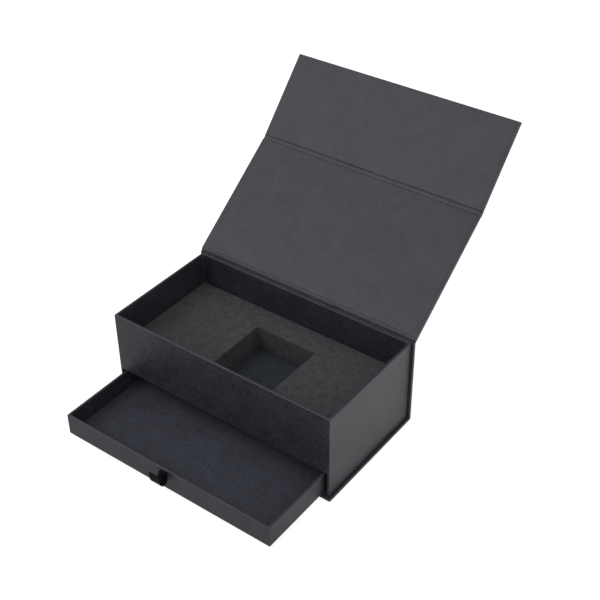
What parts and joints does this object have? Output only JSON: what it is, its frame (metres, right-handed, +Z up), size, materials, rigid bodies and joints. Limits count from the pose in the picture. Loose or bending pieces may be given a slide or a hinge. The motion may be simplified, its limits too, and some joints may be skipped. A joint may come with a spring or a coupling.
{
  "type": "sliding drawer gift box",
  "caption": "Rigid book-style gift box with a hinged lid and front flap, a foam insert in its tray, and a shallow drawer with a ribbon pull under it.",
  "frame": {"origin": "on the underside of the case, below the middle of the tray", "axes": "+X to the right along the front, +Y to the back, +Z up; the drawer opens along -Y and the lid leans back towards +Y"},
  "size_m": [0.246, 0.3764, 0.2375],
  "materials": {
    "cover_paper": "matte",
    "lining_paper": "matte",
    "greyboard": "matte",
    "foam": "matte",
    "ribbon": "satin",
    "magnet": "satin",
    "catch_steel": "satin"
  },
  "bodies": {
    "box_body": {"base_board": "greyboard", "base_wrap": "cover_paper", "base_hinge_paper": "cover_paper", "spine_board": "greyboard", "spine_wrap": "cover_paper", "tray_front_board": "greyboard", "tray_back_board": "greyboard", "tray_left_board": "greyboard", "tray_right_board": "greyboard", "tray_floor_board": "greyboard", "tray_wrap": "cover_paper", "bay_lining": "lining_paper", "left_guide": "greyboard", "right_guide": "greyboard", "rear_ledge": "greyboard", "shelf_board": "greyboard", "shelf_lining": "lining_paper", "catch_plates": "catch_steel", "lid_hinge_paper": "cover_paper"},
    "insert": {"foam_insert": "foam"},
    "lid": {"lid_board": "greyboard", "lid_wrap": "cover_paper", "lid_lining": "lining_paper", "flap_hinge_paper": "cover_paper"},
    "flap": {"flap_board": "greyboard", "flap_wrap": "cover_paper", "flap_lining": "lining_paper", "flap_magnets": "magnet"},
    "drawer": {"drawer_front_board": "greyboard", "drawer_back_board": "greyboard", "drawer_left_board": "greyboard", "drawer_right_board": "greyboard", "drawer_floor_board": "greyboard", "drawer_wrap": "cover_paper", "drawer_lining": "lining_paper", "ribbon_anchor": "ribbon"},
    "ribbon": {"pull_ribbon": "ribbon"}
  },
  "joints": [
    {"name": "lid_hinge", "type": "hinge", "parent": "box_body", "child": "lid", "pos_m": [0, 0.0649, 0.09285], "axis": [-1, 0, 0], "range_deg": [-143.13, 54.9], "deforming": ["lid_hinge_paper"]},
    {"name": "flap_hinge", "type": "hinge", "parent": "lid", "child": "flap", "pos_m": [0, 0.16826, 0.17037], "axis": [-1, 0, 0], "range_deg": [-79.09, 25.91], "deforming": ["flap_hinge_paper"]},
    {"name": "drawer_slide", "type": "slide", "parent": "box_body", "child": "drawer", "axis": [0, -1, 0], "range_m": [-0.0757, 0.035]},
    {"name": "ribbon_lift", "type": "hinge", "parent": "drawer", "child": "ribbon", "pos_m": [0, -0.13805, 0.0246], "axis": [-1, 0, 0], "range_deg": [-90, 40], "stiffness_Nm_per_rad": 0.00005, "deforming": ["pull_ribbon"]},
    {"name": "insert_lift", "type": "slide", "parent": "box_body", "child": "insert", "axis": [0, 0, 1], "range_m": [0, 0.07]}
  ]
}
